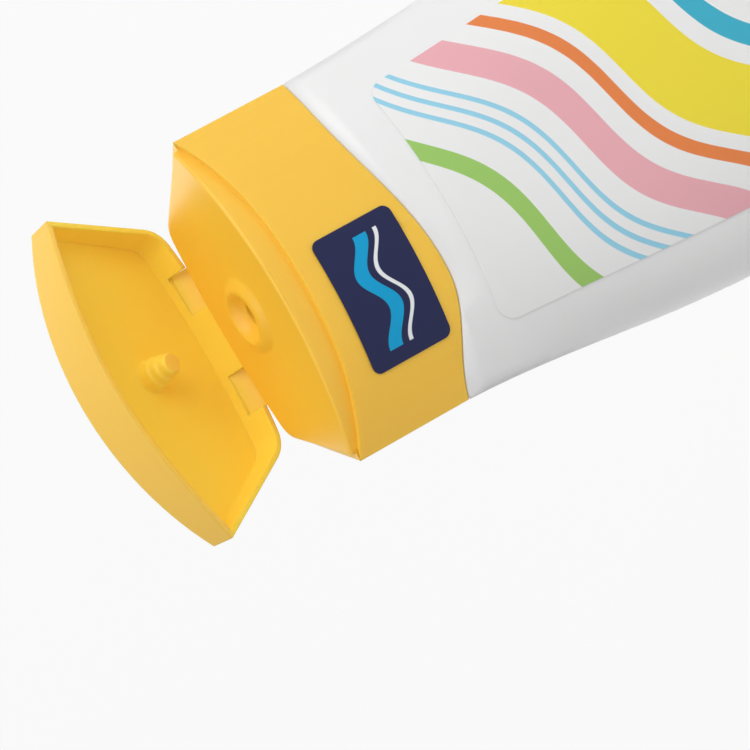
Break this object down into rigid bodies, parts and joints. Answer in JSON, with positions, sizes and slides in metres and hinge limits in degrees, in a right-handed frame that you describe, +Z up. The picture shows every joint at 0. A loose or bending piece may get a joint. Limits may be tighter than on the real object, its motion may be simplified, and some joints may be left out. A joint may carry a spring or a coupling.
{
  "type": "flip-top squeeze bottle",
  "caption": "Flat oval squeeze bottle with a wide flip-top cap standing open, a sealing pin inside the lid, a dished orifice, a front label and a cap sticker.",
  "frame": {"origin": "middle of the flat base that the bottle stands on", "axes": "+Z up from the base to the cap, front with the label towards -Y, +X to the right seen from the front"},
  "size_m": [0.071, 0.0414, 0.1829],
  "materials": {
    "body_white": "satin white blown polyethylene",
    "cap_yellow": "satin, slightly see-through yellow polypropylene",
    "lid_yellow": "satin, slightly see-through yellow polypropylene",
    "hinge_yellow": "thin bent yellow polypropylene",
    "label_print": "printed white film",
    "sticker_navy": "printed film"
  },
  "bodies": {
    "bottle": {"bottle_body": "body_white", "cap_base": "cap_yellow", "film_hinge": "hinge_yellow", "left_hinge_spring": "hinge_yellow", "right_hinge_spring": "hinge_yellow", "front_label": "label_print", "cap_sticker": "sticker_navy"},
    "lid": {"flip_lid": "lid_yellow"}
  },
  "joints": [
    {"name": "lid_hinge", "type": "hinge", "parent": "bottle", "child": "lid", "pos_m": [0, 0.01615, 0.15115], "axis": [-1, 0, 0], "range_deg": [-66, 114], "deforming": ["film_hinge", "left_hinge_spring", "right_hinge_spring"]}
  ]
}
